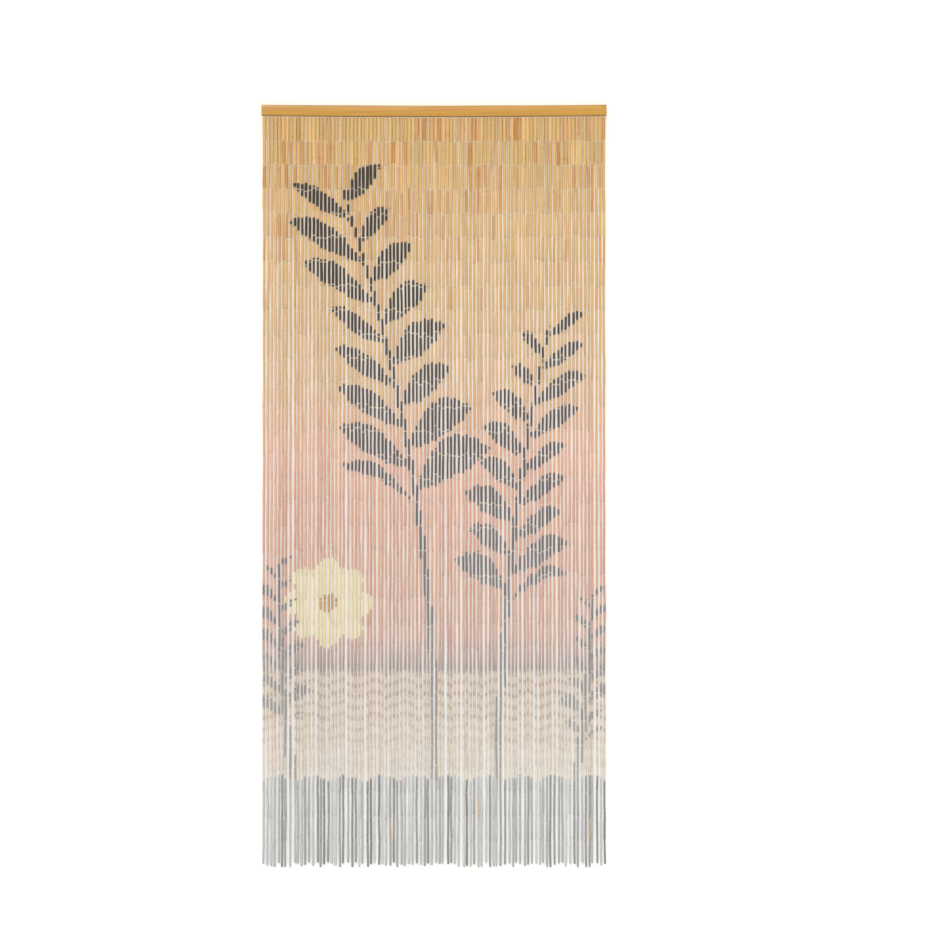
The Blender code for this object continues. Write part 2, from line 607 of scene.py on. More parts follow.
def tone(red, green, blue):
    """A colour as a screen shows it, from 0 to 255, turned into light."""
    def to_light(level):
        share = level / 255
        return share / 12.92 if share < 0.04045 else ((share + 0.055) / 1.055) ** 2.4
    return (to_light(red), to_light(green), to_light(blue), 1.0)


# %% [markdown]
# The painting is made for this lesson. It keeps to soft evening colours: honey cane at the top,
# peach and dusty rose below, a cream border with small rows of marks, and a grey foot. On it
# stand leafy branches and one pale blossom. A branch is a formula: its stem is a bent line, and
# each leaf lies in a slanted cell beside it. The strand's own place is read instead of the
# point's, so each strand holds one column of the picture, as real painted strands do.

# %% Formula for a branch
BRANCHES = (
    {"foot": (0.00, 1.79), "tip": (-0.24, 0.22), "bend": 0.07, "leaf": 0.29, "pitch": 0.108,
     "bare": 0.47, "slant": 1.05, "seed": 0.2},
    {"foot": (0.17, 1.79), "tip": (0.30, 0.58), "bend": -0.035, "leaf": 0.21, "pitch": 0.088,
     "bare": 0.40, "slant": 1.05, "seed": 0.6},
    {"foot": (-0.36, 1.80), "tip": (-0.405, 1.20), "bend": -0.01, "leaf": 0.10, "pitch": 0.060,
     "bare": 0.30, "slant": 1.10, "seed": 0.4},
    {"foot": (0.36, 1.80), "tip": (0.41, 1.28), "bend": 0.01, "leaf": 0.09, "pitch": 0.055,
     "bare": 0.25, "slant": 1.10, "seed": 0.1},
)
LEAF_WIDTH = 0.12
LEAF_DROOP = 0.75
LEAF_EDGE = 0.0015
STEM_TIP_WIDTH = 0.004
STEM_FOOT_WIDTH = 0.011
STEM_BELOW_FOOT = 0.05
LEAST_LEAF, LEAF_RANGE = 0.75, 0.45
TIP_SHRINK, TIP_POWER = 0.5, 4


def branch_mask(finish, x, depth, foot, tip, bend, leaf, pitch, bare, slant, seed):
    """1 on a branch's stem and leaves. Depth is measured down from the curtain's top."""
    (foot_x, foot_depth), (tip_x, tip_depth) = foot, tip
    run = foot_depth - tip_depth
    rise = (foot_depth - depth) / run
    stem_x = rise * (tip_x - foot_x + 4 * bend - 4 * bend * rise) + foot_x
    aside = x - stem_x
    away = abs(aside)
    right = aside > 0
    leaf_depth = depth + away * (slant - away * (LEAF_DROOP / leaf))
    leaf_rise = (foot_depth - leaf_depth) / run
    cell = leaf_depth / pitch + right * 0.5 + seed
    number = cell.math("ROUND")
    luck = finish.node("ShaderNodeTexWhiteNoise", {"noise_dimensions": "2D"}, {
        "Vector": finish.vector(number, right + seed, 0.0)})
    size = (LEAST_LEAF + LEAF_RANGE * luck) * leaf * (1 - TIP_SHRINK * leaf_rise ** TIP_POWER)
    slim = 1 / math.hypot(1, slant)
    across = abs(cell - number) * (pitch * slim)
    out = (away / (size * slim)).clipped()
    half = size * LEAF_WIDTH * 4 * out * (1 - out)
    leaves = ((half - across) / LEAF_EDGE).clipped() * (leaf_rise < 1) * (leaf_rise > bare)
    stem_half = (1 - rise).clipped() * (STEM_FOOT_WIDTH - STEM_TIP_WIDTH) + STEM_TIP_WIDTH
    stem = (away < stem_half) * (rise < 1) * (rise > -STEM_BELOW_FOOT)
    return leaves.math("MAXIMUM", stem)


print("branches:", len(BRANCHES))

# %% [markdown]
# The blossom is a circle whose rim is pulled in between eight petals. The border's marks are short
# dashes in zigzag rows that fade downwards, and the foot's upper edge is a row of scallops. All of
# them follow from the strand's place and the depth.

# %% Formulas for the blossom, the border and the foot
BLOSSOM = {"x": -0.275, "depth": 1.30, "radius": 0.118, "petals": 8, "notch": 0.24, "heart": 0.024}
BORDER_TOP = 1.482
FOOT_TOP = 1.765
MARK_ROW = 0.029
MARK_SHARE = 0.36
MARK_STRANDS = 8
MARKS_END = FOOT_TOP - 0.02
MARKS_FADED = FOOT_TOP + 0.05
SCALLOP_STRANDS = 9
SCALLOP_DEPTH = 0.016
SCALLOP_EDGE = 0.004


def blossom_masks(finish, x, depth):
    """1 on the petals, and 1 on the heart."""
    dx = x - BLOSSOM["x"]
    dz = depth - BLOSSOM["depth"]
    radius = (dx * dx + dz * dz).math("SQRT")
    angle = dz.math("ARCTAN2", dx)
    lobe = abs((angle * (BLOSSOM["petals"] / 2)).math("COSINE"))
    reach = (1 - BLOSSOM["notch"] + lobe * BLOSSOM["notch"]) * BLOSSOM["radius"]
    return radius < reach, radius < BLOSSOM["heart"]


def border_marks(x, depth):
    """Up to 1 on the zigzag rows of the cream border, which fade downwards."""
    zigzag = abs((x / (MARK_STRANDS * STRAND_PITCH)).math("FRACT") - 0.5)
    row = ((depth - BORDER_TOP) / MARK_ROW + zigzag).math("FRACT")
    strength = depth.eased(MARKS_FADED, BORDER_TOP)
    return (row < MARK_SHARE) * strength * (depth > BORDER_TOP) * (depth < MARKS_END)


def foot_mask(x, depth):
    """1 on the grey foot."""
    wave = abs((x * (math.pi / (SCALLOP_STRANDS * STRAND_PITCH))).math("SINE"))
    return ((depth - FOOT_TOP + wave * SCALLOP_DEPTH) / SCALLOP_EDGE).clipped()


print("border: from", BORDER_TOP, "to", FOOT_TOP, "metres down")

# %% [markdown]
# The cane itself comes in several tones, from pale straw to greenish and pinkish brown. The
# paint's colours follow the depth below the rail. They are given as stops, a depth in metres and
# the colour there, and the shader fades from each to the next.

# %% Colours of the cane and the paint
PAINT_LENGTH = 2.0
CANE_TONES = (
    (0.00, tone(206, 175, 120)),
    (0.22, tone(192, 156, 99)),
    (0.45, tone(186, 151, 97)),
    (0.65, tone(177, 151, 96)),
    (0.85, tone(186, 144, 100)),
    (1.00, tone(168, 116, 56)),
)
PAINT_BY_DEPTH = (
    (0.00, tone(188, 146, 88)),
    (0.30, tone(184, 147, 95)),
    (0.50, tone(180, 147, 104)),
    (0.61, tone(181, 150, 112)),
    (0.72, tone(182, 151, 113)),
    (0.81, tone(184, 145, 115)),
    (0.90, tone(190, 146, 124)),
    (1.03, tone(182, 138, 122)),
    (1.26, tone(176, 137, 123)),
    (1.39, tone(171, 138, 128)),
    (1.432, tone(151, 132, 131)),
    (1.475, tone(131, 123, 126)),
    (1.484, tone(179, 168, 156)),
    (1.60, tone(187, 178, 167)),
    (1.75, tone(192, 188, 178)),
    (2.00, tone(186, 182, 173)),
)
INK_BY_DEPTH = (
    (0.20, tone(26, 26, 30)),
    (0.50, tone(30, 32, 38)),
    (0.95, tone(68, 68, 76)),
    (1.25, tone(98, 96, 102)),
    (1.60, tone(132, 130, 129)),
    (1.80, tone(142, 141, 138)),
)
COVER_BY_DEPTH = (
    (0.14, (0.0, 0.0, 0.0, 1.0)),
    (0.36, (0.35, 0.35, 0.35, 1.0)),
    (0.70, (0.75, 0.75, 0.75, 1.0)),
    (0.90, (0.92, 0.92, 0.92, 1.0)),
)
NODE_LINE = tone(120, 84, 46)
TIP_STRAW = tone(216, 196, 162)
PETAL_CREAM = tone(198, 188, 150)
HEART_BROWN = tone(160, 128, 92)
MARK_BROWN = tone(138, 118, 104)
FOOT_DARK = tone(97, 102, 105)
FOOT_PALE = tone(180, 186, 188)
STRAND_PINK = tone(222, 170, 152)
STRAND_TAN = tone(206, 182, 142)


def down_stops(stops):
    """Stops given in metres of depth, as shares of the painted length."""
    return [(depth / PAINT_LENGTH, colour) for depth, colour in stops]


print("colours: cane tones", len(CANE_TONES), "paint stops", len(PAINT_BY_DEPTH))

# %% [markdown]
# Cane has fine fibres along it, and a dark line where a node was. Two noises, stretched along
# the tube, make the coarse and the fine fibres. Each tube's own random numbers pick its tone and
# shift the noise, so that no two tubes look alike.

# %% Draw the cane
FIBRES_ROUND, FIBRES_ALONG = 3.2, 22
FINE_FIBRES = 3.5
FIBRE_SHIFT = 57
TONE_BY_LUCK, TONE_BY_FIBRES = 0.85, 0.3
CANE_LIGHT, LIGHT_BY_LUCK, LIGHT_BY_FINE, LIGHT_BY_FIBRES = 0.90, 0.14, 0.14, 0.06
NODE_LINE_EDGES, NODE_LINE_SHARE = (0.0011, 0.0003), 0.6


def draw_cane(finish, face, side, along, node_at, luck):
    """The bare cane's colour, and its fibres as a value from 0 to 1."""
    shifted = along * FIBRES_ALONG + luck[0] * FIBRE_SHIFT
    vector = finish.vector(face * FIBRES_ROUND, side * FIBRES_ROUND, shifted)
    fibres = finish.noise(vector, 1.0, 3.0)
    fine = finish.noise(vector, FINE_FIBRES, 2.0)
    cane = finish.ramp((luck[0] * TONE_BY_LUCK + fibres * TONE_BY_FIBRES).clipped(), CANE_TONES)
    light = CANE_LIGHT + luck[1] * LIGHT_BY_LUCK + fine * LIGHT_BY_FINE - fibres * LIGHT_BY_FIBRES
    cane = finish.tinted(cane, light)
    node_line = abs(along - node_at).eased(*NODE_LINE_EDGES) * NODE_LINE_SHARE
    cane = finish.blend(node_line, cane, NODE_LINE)
    return cane, (fibres + fine) * 0.5


# %% [markdown]
# The picture is laid on in layers, as a painter would: first the fading ground, in a slightly
# different tone on each strand, then the border's marks, the foot, the blossom, and last the
# dark branches. The drawing also tells where the paint lies thickly.

# %% Draw the picture
STRAND_TINT = 0.30
STRAND_LIGHT, STRAND_LIGHT_RANGE = 0.95, 0.1
MARK_COVER = 0.6
INK_LOST_IN_FOOT = 0.75


def draw_picture(finish, x, depth):
    """The painting's colour, and where it is laid on thickly."""
    share = depth / PAINT_LENGTH
    picture = finish.ramp(share, down_stops(PAINT_BY_DEPTH))
    of_strand = finish.node("ShaderNodeTexWhiteNoise", {"noise_dimensions": "1D"}, {"W": x}, out=1)
    hue, light, patch = finish.split(of_strand)
    tinge = finish.blend(hue, STRAND_PINK, STRAND_TAN)
    picture = finish.blend(patch * patch * STRAND_TINT, picture, tinge)
    picture = finish.tinted(picture, STRAND_LIGHT + light * STRAND_LIGHT_RANGE)
    picture = finish.blend(border_marks(x, depth) * MARK_COVER, picture, MARK_BROWN)
    foot = foot_mask(x, depth)
    picture = finish.blend(foot, picture, finish.blend(light, FOOT_DARK, FOOT_PALE))
    petals, heart = blossom_masks(finish, x, depth)
    picture = finish.blend(petals, picture, PETAL_CREAM)
    picture = finish.blend(heart, picture, HEART_BROWN)
    ink = branch_mask(finish, x, depth, **BRANCHES[0])
    for branch in BRANCHES[1:]:
        ink = ink.math("MAXIMUM", branch_mask(finish, x, depth, **branch))
    ink = ink * (1 - foot * INK_LOST_IN_FOOT)
    picture = finish.blend(ink, picture, finish.ramp(share, down_stops(INK_BY_DEPTH)))
    return picture, ink.math("MAXIMUM", petals)


# %% [markdown]
# The paint lies thickest on the front and is thinner at the back. Near the rail there is none,
# streaks of cane show through it, and the tubes' tips are worn pale.

# %% Finish of the tubes' skin
TUBE_SKIN = {"Coat Weight": 0.05, "Coat Roughness": 0.3, "Specular IOR Level": 0.3, "IOR": 1.45}
PAINT_LIGHT, PAINT_LIGHT_BY_LUCK, PAINT_LIGHT_BY_FIBRES = 0.95, 0.06, 0.08
THICK_COVER = 0.95
BACK_TO_SIDE, BACK_COVER = (-0.9, -0.3), 0.5
STREAK_FIBRES, STREAK_SHARE = (0.56, 0.72), 0.2
TIP_EDGES = (0.0280, 0.0293)
WORN_LEAST, WORN_ON_CANE, WORN_ON_THICK = 0.1, 0.6, 0.5
WORN_UNLUCKY, WORN_BY_LUCK = 0.4, 0.6
SKIN_ROUGH, ROUGH_BY_COVER, ROUGH_BY_FIBRES = 0.36, 0.17, 0.10
FIBRE_BUMP = (0.00012, 0.5)


def tube_skin():
    """Cane under a worn coat of paint."""
    finish = Finish("bamboo_skin", TUBE_SKIN)
    z = finish.split(finish.node("ShaderNodeTexCoord", {}, {}, out=3))[2]
    lay = finish.node("ShaderNodeAttribute", {"attribute_name": "lay"}, {}, out=1)
    strand_x, slip, node_at = finish.split(lay)
    luck = finish.split(finish.node("ShaderNodeAttribute", {"attribute_name": "chance"}, {}, out=1))
    turn, along, _ = finish.split(finish.node("ShaderNodeUVMap", {"uv_map": "fibre"}, {}))
    angle = turn * (2 * math.pi)
    face = angle.math("COSINE")
    side = angle.math("SINE")
    cane, fibres = draw_cane(finish, face, side, along, node_at, luck)
    depth = TOP_Z - z + slip
    picture, thick = draw_picture(finish, strand_x, depth)
    light = PAINT_LIGHT + luck[2] * PAINT_LIGHT_BY_LUCK + fibres * PAINT_LIGHT_BY_FIBRES
    picture = finish.tinted(picture, light)
    laid = finish.ramp(depth / PAINT_LENGTH, down_stops(COVER_BY_DEPTH))
    laid = laid.math("MAXIMUM", thick * THICK_COVER)
    round_sides = face.eased(*BACK_TO_SIDE) * (1 - BACK_COVER) + BACK_COVER
    streaks = fibres.eased(*STREAK_FIBRES) * STREAK_SHARE
    cover = (laid * round_sides * (1 - streaks)).clipped()
    skin = finish.blend(cover, cane, picture)
    worn = ((1 - laid) * WORN_ON_CANE + thick * WORN_ON_THICK + WORN_LEAST).clipped()
    worn_tips = abs(along).eased(*TIP_EDGES) * (worn * (WORN_UNLUCKY + luck[1] * WORN_BY_LUCK))
    finish.set("Base Color", finish.blend(worn_tips, skin, TIP_STRAW))
    finish.set("Roughness", SKIN_ROUGH + cover * ROUGH_BY_COVER + fibres * ROUGH_BY_FIBRES)
    finish.set("Normal", finish.bump(fibres, *FIBRE_BUMP))
    return finish.material


skin = tube_skin()
print("skin: nodes", len(skin.node_tree.nodes))

# %% [markdown]
# A sawn end shows pale fibre with tiny pores, and the hole's wall is brown, with painted shade
# that gets darker inwards. The fibre map's second number is the distance from the tube's middle,
# which tells the two apart.

# %% Finish of the sawn ends
PORE_SCALE, PORE_EDGES = 2600, (0.48, 0.66)
# Where the hole's painted shade starts, and where it is darkest.
BORE_SHADE_EDGES = (0.0297, 0.024)
PORE_BUMP = (0.00008, 0.4)
SAWN_PALE = tone(214, 186, 136)
SAWN_PORE = tone(150, 112, 68)
# The hole's brown, which also carries its painted shade.
BORE_BROWN_AND_SHADE = tone(96, 70, 42)


def sawn_end():
    """Pale end grain, and the hole's brown wall with painted shade deeper in."""
    finish = Finish("bamboo_sawn", {"Roughness": 0.8})
    place = finish.node("ShaderNodeTexCoord", {}, {}, out=3)
    along = finish.split(finish.node("ShaderNodeUVMap", {"uv_map": "fibre"}, {}))[1]
    pores = finish.noise(place, PORE_SCALE, 2.0)
    grain = finish.blend(pores.eased(*PORE_EDGES), SAWN_PALE, SAWN_PORE)
    # Painted shade: the hole's wall darkens from its mouth inwards.
    bore_shade = abs(along).eased(*BORE_SHADE_EDGES)
    finish.set("Base Color", finish.blend(bore_shade, grain, BORE_BROWN_AND_SHADE))
    finish.set("Normal", finish.bump(pores, *PORE_BUMP))
    return finish.material


sawn = sawn_end()
print("sawn end: nodes", len(sawn.node_tree.nodes))

# %% [markdown]
# With the shapes, the places and the finishes ready, the tubes can be joined. Six strands make one
# piece, which keeps each piece light and gives every tube enough room in its bake map.

# %% Join the tubes
STRANDS_A_PIECE = 6
TUBE_COLUMNS, TUBE_ROWS = 25, 8
TUBE_SMOOTH = math.radians(50)

for start in range(0, STRAND_COUNT, STRANDS_A_PIECE):
    copies = [tube_copy(strand, row)
              for strand in range(start, start + STRANDS_A_PIECE) for row in range(TUBES)]
    number = start // STRANDS_A_PIECE + 1
    name = f"strands_{number:02d}"
    piece = join_copies(name, copies, TUBE_COLUMNS, TUBE_ROWS, (skin, sawn), TUBE_SMOOTH)
print("tubes:", STRAND_COUNT * TUBES, "in", number, "pieces")
print("last piece:", len(piece.data.polygons), "faces")
for tube in tube_models:
    bpy.data.objects.remove(tube)

# %% [markdown]
# A link is a straight wire with an eye bent at each end. The eyes stand square to each other, so
# that each can hook into its neighbour. It is drawn as a curve with a round bevel, turned into a
# mesh, and closed at its two ends. A wire this thin needs only four sides.

# %% Model the wires
WIRE_RADIUS = 0.00030
EYE_RADIUS = 0.00105
EYE_POINTS = 7
EYE_OPENING = math.radians(30)
EYE_SHIFT = EYE_RADIUS - WIRE_RADIUS
STAPLE_DEEP = 0.0015
LONG_FACES_SHARE = 0.9
CAP_CORNERS = np.array(((0.93, 0.1), (0.98, 0.1), (0.98, 0.3), (0.93, 0.3)))
CAP_STEP = 0.5


def eye_points(centre_z, neck_down, flat_axis):
    """Points round an eye from its open end to its neck. Flat_axis is the axis that it spreads on."""
    angles = np.linspace(2 * math.pi - EYE_OPENING, EYE_OPENING, EYE_POINTS)
    points = np.zeros((EYE_POINTS, 3))
    points[:, flat_axis] = EYE_RADIUS * np.sin(angles)
    towards_neck = -1 if neck_down else 1
    points[:, 2] = centre_z + towards_neck * EYE_RADIUS * np.cos(angles)
    return points


def link_path(span):
    """A link's centre line between two joints that are a span apart."""
    top_z = span / 2 - EYE_SHIFT
    neck = top_z - 2 * EYE_RADIUS
    shaft = np.array(((0, 0, neck), (0, 0, -neck)))
    upper = eye_points(top_z, True, 1)
    lower = eye_points(-top_z, False, 0)[::-1]
    return np.concatenate((upper, shaft, lower))


def staple_path():
    """A staple's centre line, the origin at the first joint below it."""
    angles = np.linspace(0, math.pi, EYE_POINTS)
    points = np.zeros((EYE_POINTS, 3))
    points[:, 0] = EYE_RADIUS * np.cos(angles)
    points[:, 2] = EYE_SHIFT - EYE_RADIUS * np.sin(angles)
    top_z = HOOK_DROP + STAPLE_DEEP
    tops = np.array(((EYE_RADIUS, 0, top_z), (-EYE_RADIUS, 0, top_z)))
    return np.concatenate((tops[:1], points, tops[1:]))


def draw_wire(name, path):
    """A closed four-sided tube along a path."""
    curve = bpy.data.curves.new(name, "CURVE")
    curve.dimensions = "3D"
    curve.bevel_depth = WIRE_RADIUS
    curve.bevel_resolution = 0
    line = curve.splines.new("POLY")
    line.points.add(len(path) - 1)
    for point, place in zip(line.points, path):
        point.co = (*place, 1)
    wire = bpy.data.objects.new(name, curve)
    bpy.context.scene.collection.objects.link(wire)
    select_only(wire)
    bpy.ops.object.convert(target="MESH")
    start_editing(bpy.context.object, "EDGE")
    bpy.ops.mesh.select_all(action="SELECT")
    bpy.ops.mesh.fill_holes(sides=4)
    bpy.ops.object.mode_set(mode="OBJECT")
    return bpy.context.object


def wire_shape(wire):
    """A wire's points, faces and cell map, with the two caps beside the long faces."""
    mesh = wire.data
    quads = np.array([tuple(face.vertices) for face in mesh.polygons])
    cell = np.empty(len(mesh.loops) * 2, np.float32)
    mesh.uv_layers[0].data.foreach_get("uv", cell)
    cell = cell.reshape(-1, 4, 2)[:, :, ::-1] * np.array((LONG_FACES_SHARE, 1.0))
    cell[-2] = CAP_CORNERS
    cell[-1] = CAP_CORNERS + np.array((0, CAP_STEP))
    return {
        "points": read_points(mesh),
        "quads": quads,
        "slots": np.zeros(len(quads)),
        "fibre": cell,
        "cell": cell,
    }


link_model = draw_wire("link", link_path(TUBE_LENGTH + JOINT_GAP))
staple_model = draw_wire("staple", staple_path())
tail_model = draw_wire("tail", np.array(((0, 0, 0), (0, 0, -1.0))))
print("wires: faces", [len(m.data.polygons) for m in (link_model, staple_model, tail_model)])

# %% [markdown]
# Wire is bright drawn steel. A little tarnish changes its roughness and tone.

# %% Finish of the wire
STEEL_BRIGHT = (0.72, 0.71, 0.68, 1.0)
STEEL_DULL = (0.46, 0.44, 0.40, 1.0)
TARNISH_SCALE, TARNISH_EDGES = 180, (0.5, 0.75)
STEEL_ROUGH, ROUGH_BY_TARNISH = 0.28, 0.2


def steel_wire():
    """Bright steel with some tarnish."""
    finish = Finish("steel_wire", {"Metallic": 1.0})
    tarnish = finish.noise(finish.node("ShaderNodeTexCoord", {}, {}, out=3), TARNISH_SCALE, 3.0)
    finish.set("Base Color", finish.blend(tarnish.eased(*TARNISH_EDGES), STEEL_BRIGHT, STEEL_DULL))
    finish.set("Roughness", STEEL_ROUGH + tarnish * ROUGH_BY_TARNISH)
    return finish.material


steel = steel_wire()
print("wire: nodes", len(steel.node_tree.nodes))

# %% [markdown]
# Every tube has its link. The model is stretched by moving its upper and lower halves apart, so
# that the eyes keep their size, and it leans with its tube.

# %% Join the links
LINK_COLUMNS, LINK_ROWS = 31, 30
WIRE_SMOOTH = math.radians(80)
SIDES = ("left", "middle", "right")
link = wire_shape(link_model)


def wire_copy(shape, points, strand):
    """One placed wire."""
    return {
        "shape": shape,
        "points": points,
        "fibre": shape["fibre"],
        "lay": (plan[strand]["x"], 0, NO_NODE),
        "chance": (0, 0, 0),
    }


def join_wires(name, copies, columns, rows):
    """One finished piece of wires."""
    piece = join_copies(name, copies, columns, rows, (steel,), WIRE_SMOOTH)


def link_copy(strand, row):
    """The link of one tube, from its upper joint to its lower one."""
    upper, lower = joints[strand, row], joints[strand, row + 1]
    stretch = (upper[2] - lower[2] - TUBE_LENGTH - JOINT_GAP) / 2
    high = link["points"][:, 2] + np.sign(link["points"][:, 2]) * stretch
    flat = link["points"] * np.array((1, 1, 0))
    points = (upper + lower) / 2 + high[:, None] * lean_between(upper, lower) + flat
    return wire_copy(link, points, strand)


strands_a_side = STRAND_COUNT // len(SIDES)
for part, side in enumerate(SIDES):
    start = part * strands_a_side
    copies = [link_copy(strand, row)
              for strand in range(start, start + strands_a_side) for row in range(TUBES)]
    join_wires(f"links_{side}", copies, LINK_COLUMNS, LINK_ROWS)
print("links:", STRAND_COUNT * TUBES)

# %% [markdown]
# A staple over each strand holds its first link. Under the longest strands, whose last tube ends
# early, the wire hangs out as a short bare tail.

# %% Join the staples and the tails
STAPLE_COLUMNS, STAPLE_ROWS = 10, 9
LEAST_TAIL = 0.002
staple = wire_shape(staple_model)
tail = wire_shape(tail_model)


def staple_copy(strand):
    """The staple over a strand's first joint."""
    return wire_copy(staple, joints[strand, 0] + staple["points"], strand)


def tail_copy(strand):
    """The bare wire under the last eye of a long strand."""
    top = joints[strand, -1] - np.array((0, 0, EYE_RADIUS - EYE_SHIFT))
    length = top[2] - plan[strand]["low_z"]
    return wire_copy(tail, top + tail["points"] * np.array((1, 1, length)), strand)


copies = [staple_copy(strand) for strand in range(STRAND_COUNT)]
join_wires("staples", copies, STAPLE_COLUMNS, STAPLE_ROWS)
with_tail = [n for n, strand in enumerate(plan) if joints[n, -1, 2] - strand["low_z"] > LEAST_TAIL]
copies = [tail_copy(strand) for strand in with_tail]
join_wires("hem_tails", copies, STAPLE_COLUMNS, STAPLE_ROWS)
print("staples:", STRAND_COUNT, "tails:", len(with_tail))
for model in (link_model, staple_model, tail_model):
    bpy.data.objects.remove(model)

# %% [markdown]
# The rail is a flat lath of pale wood, stained honey and varnished. It starts as a cube of the
# lath's size, cut into short lengths so that it can sag under the strands' weight. A bevel rounds
# its long edges, and a little unevenness keeps the faces from looking like machined metal.

# %% Model the rail
RAIL_CUTS = 59
RAIL_ROUNDING = 0.0016
RAIL_ROUND_STEPS = 3
RAIL_WAVE = 0.00018
FRONT_WAVES = 23
EDGE_WAVES, EDGE_WAVE_START = 17, 2
RAIL_SMOOTH = math.radians(40)

deselect_all()
bpy.ops.mesh.primitive_cube_add(size=1, location=(0, STRAND_Y, 0))
rail = bpy.context.object
rail.name = "rail_lath"
start_editing(rail, "VERT")
bpy.ops.mesh.select_all(action="SELECT")
rail_size = (RAIL_LENGTH, RAIL_DEPTH, RAIL_HEIGHT)
bpy.ops.transform.resize(value=rail_size, center_override=(0, STRAND_Y, 0))
bpy.ops.mesh.select_mode(type="EDGE")
pick("edges", lambda edge: abs(edge.verts[0].co.x - edge.verts[1].co.x) > RAIL_LENGTH / 2)
bpy.ops.mesh.subdivide(number_cuts=RAIL_CUTS)
bpy.ops.object.mode_set(mode="OBJECT")
bpy.ops.object.transform_apply(location=True, rotation=True, scale=True)
points = read_points(rail.data)
points[:, 2] += sag_rise(points[:, 0])
write_points(rail.data, points)
bevel = rail.modifiers.new("rounded edges", "BEVEL")
bevel.width = RAIL_ROUNDING
bevel.segments = RAIL_ROUND_STEPS
bevel.limit_method = "ANGLE"
bpy.ops.object.modifier_apply(modifier=bevel.name)
points = read_points(rail.data)
along = points[:, 0]
inner = np.abs(along) < RAIL_LENGTH / 2 - 2 * RAIL_ROUNDING
front = inner & (points[:, 1] < STRAND_Y)
edge_side = np.sign(points[:, 2] - sag_rise(along))
edge_wave = RAIL_WAVE * (1 + np.sin(along * EDGE_WAVES + EDGE_WAVE_START)) * edge_side
points[front, 1] += RAIL_WAVE * (np.sin(along[front] * FRONT_WAVES) - 1)
points[inner, 2] -= edge_wave[inner]
write_points(rail.data, points)
bpy.ops.object.shade_smooth_by_angle(angle=RAIL_SMOOTH)
print("rail: faces", len(rail.data.polygons))

# %% [markdown]
# The wood's grain runs along the lath in long thin streaks, with finer pores between them. A thin
# darker line along the top and bottom edges is painted shade and shadow on the rounded edges. The
# sawn ends are darker still, because end grain drinks more stain.

# %% Finish of the rail
HONEY_PALE = tone(173, 128, 36)
HONEY_DEEP = tone(154, 103, 18)
# The darkest honey is painted shade on the long edges and real stain on the sawn ends.
HONEY_SHADE_AND_END_STAIN = tone(104, 79, 28)
RAIL_VARNISH = {"Coat Weight": 0.25, "Coat Roughness": 0.22, "IOR": 1.46}
GRAIN = {"along": 7, "across": 260, "detail": 4.0}
PORES = {"along": 60, "across": 1500, "detail": 2.0}
BROAD = {"along": 3, "across": 20, "detail": 2.0}
GRAIN_EDGES, GRAIN_STAIN, PORE_STAIN = (0.35, 0.7), 0.55, 0.2
WOOD_LIGHT, WOOD_LIGHT_RANGE = 0.92, 0.16
# The rim numbers place a painted shade line along the top and bottom edges.
RIM_SHADE_STARTS, RIM_SHADE_FULL, RIM_SHADE_SHARE = 0.0034, 0.0010, 0.55
END_STARTS, END_FULL, END_STAIN = 0.0012, 0.0002, 0.6
VARNISH_ROUGH, ROUGH_BY_GRAIN, ROUGH_BY_PORES = 0.34, 0.14, 0.06
GRAIN_IN_BUMP, PORES_IN_BUMP, WOOD_BUMP = 0.6, 0.4, (0.00015, 0.5)


def wood_streaks(finish, place, along, across, detail):
    """Noise drawn out along the lath."""
    x, y, height = place
    return finish.noise(finish.vector(x * along, y * across, height * across), 1.0, detail)


def varnished_wood():
    """Honey-stained wood under satin varnish."""
    finish = Finish("rail_varnished", RAIL_VARNISH)
    x, y, z = finish.split(finish.node("ShaderNodeTexCoord", {}, {}, out=3))
    share = x * (2 / RAIL_LENGTH)
    height = z - share * share * RAIL_SAG
    grain = wood_streaks(finish, (x, y, height), **GRAIN)
    pores = wood_streaks(finish, (x, y, height), **PORES)
    broad = wood_streaks(finish, (x, y, height), **BROAD)
    stain = grain.eased(*GRAIN_EDGES) * GRAIN_STAIN + pores * PORE_STAIN
    wood = finish.blend(stain, HONEY_PALE, HONEY_DEEP)
    wood = finish.tinted(wood, WOOD_LIGHT + broad * WOOD_LIGHT_RANGE)
    # Painted shade: a thin darker line along the rounded top and bottom edges. The darker ends are
    # end-grain stain.
    rim = abs(height).eased(RAIL_HEIGHT / 2 - RIM_SHADE_STARTS, RAIL_HEIGHT / 2 - RIM_SHADE_FULL)
    ends = abs(x).eased(RAIL_LENGTH / 2 - END_STARTS, RAIL_LENGTH / 2 - END_FULL)
    edge = (rim * RIM_SHADE_SHARE).math("MAXIMUM", ends * END_STAIN)
    finish.set("Base Color", finish.blend(edge, wood, HONEY_SHADE_AND_END_STAIN))
    finish.set("Roughness", VARNISH_ROUGH + grain * ROUGH_BY_GRAIN + pores * ROUGH_BY_PORES)
    relief = grain * GRAIN_IN_BUMP + pores * PORES_IN_BUMP
    finish.set("Normal", finish.bump(relief, *WOOD_BUMP))
    return finish.material


varnished = varnished_wood()
rail.data.materials.append(varnished)
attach(rail, "root")
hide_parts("rail")
print("rail: nodes", len(varnished.node_tree.nodes))

# %% [markdown]
# The studio is white all round, as for a catalogue picture: a white sky, a pale floor under the
# strands, and a wall close behind them. The wall matters here. Nearly half of a bamboo curtain
# is gaps, and what shows in them is the wall in the strands' own soft shade. Its paint is a
# middle grey, and it glows with painted light: in open light it comes out white, and behind the
# strands the painted glow keeps the shade from getting too dark. The glow is set by depth and is
# warmest at the top, where it stands in for the warm light that bounces between honey tubes.
# The wall is clear from behind, so that the curtain's back can be looked at too.

